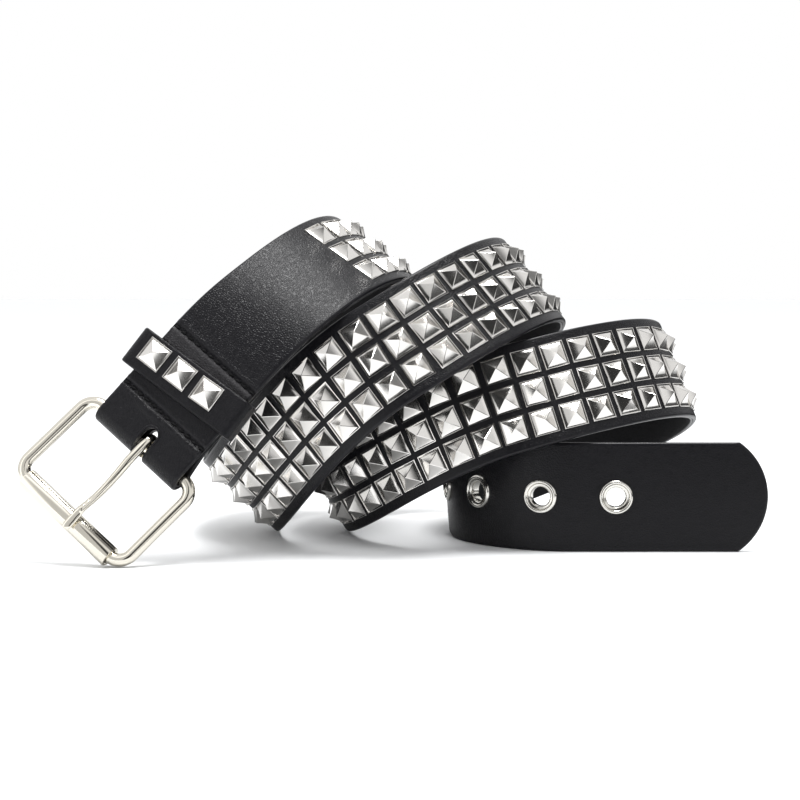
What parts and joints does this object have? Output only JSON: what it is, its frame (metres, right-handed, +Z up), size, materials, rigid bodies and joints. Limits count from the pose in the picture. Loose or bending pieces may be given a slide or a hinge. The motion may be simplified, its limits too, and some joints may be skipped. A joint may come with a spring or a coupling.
{
  "type": "studded belt",
  "caption": "Studded leather belt lying coiled on its edge, with a roller buckle, a prong, a keeper loop and metal eyelets in the tail.",
  "frame": {"origin": "on the floor under the middle of the whole belt", "axes": "+Z up; -Y is the side the picture shows, with the tail's flat face; +X towards the tail's tip, and the buckle is at -X"},
  "size_m": [0.2556, 0.1572, 0.1172],
  "materials": {
    "strap_leather": "smooth black coated leather with a fine grain",
    "keeper_leather": "smooth black coated leather",
    "stud_metal": "polished nickel",
    "eyelet_metal": "polished nickel",
    "buckle_metal": "polished nickel with a warm tint"
  },
  "bodies": {
    "belt": {"strap_tail": "strap_leather", "strap_coil_1": "strap_leather", "strap_coil_2": "strap_leather", "strap_buckle_end": "strap_leather", "eyelet_1": "eyelet_metal", "eyelet_2": "eyelet_metal", "eyelet_3": "eyelet_metal", "eyelet_4": "eyelet_metal", "eyelet_5": "eyelet_metal", "keeper": "keeper_leather", "keeper_stud_1": "stud_metal", "keeper_stud_2": "stud_metal", "keeper_stud_3": "stud_metal"},
    "frame": {"buckle_frame": "buckle_metal"},
    "roller": {"buckle_roller": "buckle_metal"},
    "prong": {"buckle_prong": "buckle_metal"}
  },
  "joints": [
    {"name": "frame_swing", "type": "hinge", "parent": "belt", "child": "frame", "pos_m": [-0.0856, -0.05944, 0.03952], "axis": [-0.726, 0.3094, 0.6141], "range_deg": [-40, 25]},
    {"name": "prong_lift", "type": "hinge", "parent": "frame", "child": "prong", "pos_m": [-0.0856, -0.05944, 0.03952], "axis": [-0.726, 0.3094, 0.6141], "range_deg": [0, 68]},
    {"name": "roller_spin", "type": "hinge", "parent": "frame", "child": "roller", "pos_m": [-0.10975, -0.06879, 0.01568], "axis": [-0.726, 0.3094, 0.6141], "continuous": true}
  ]
}
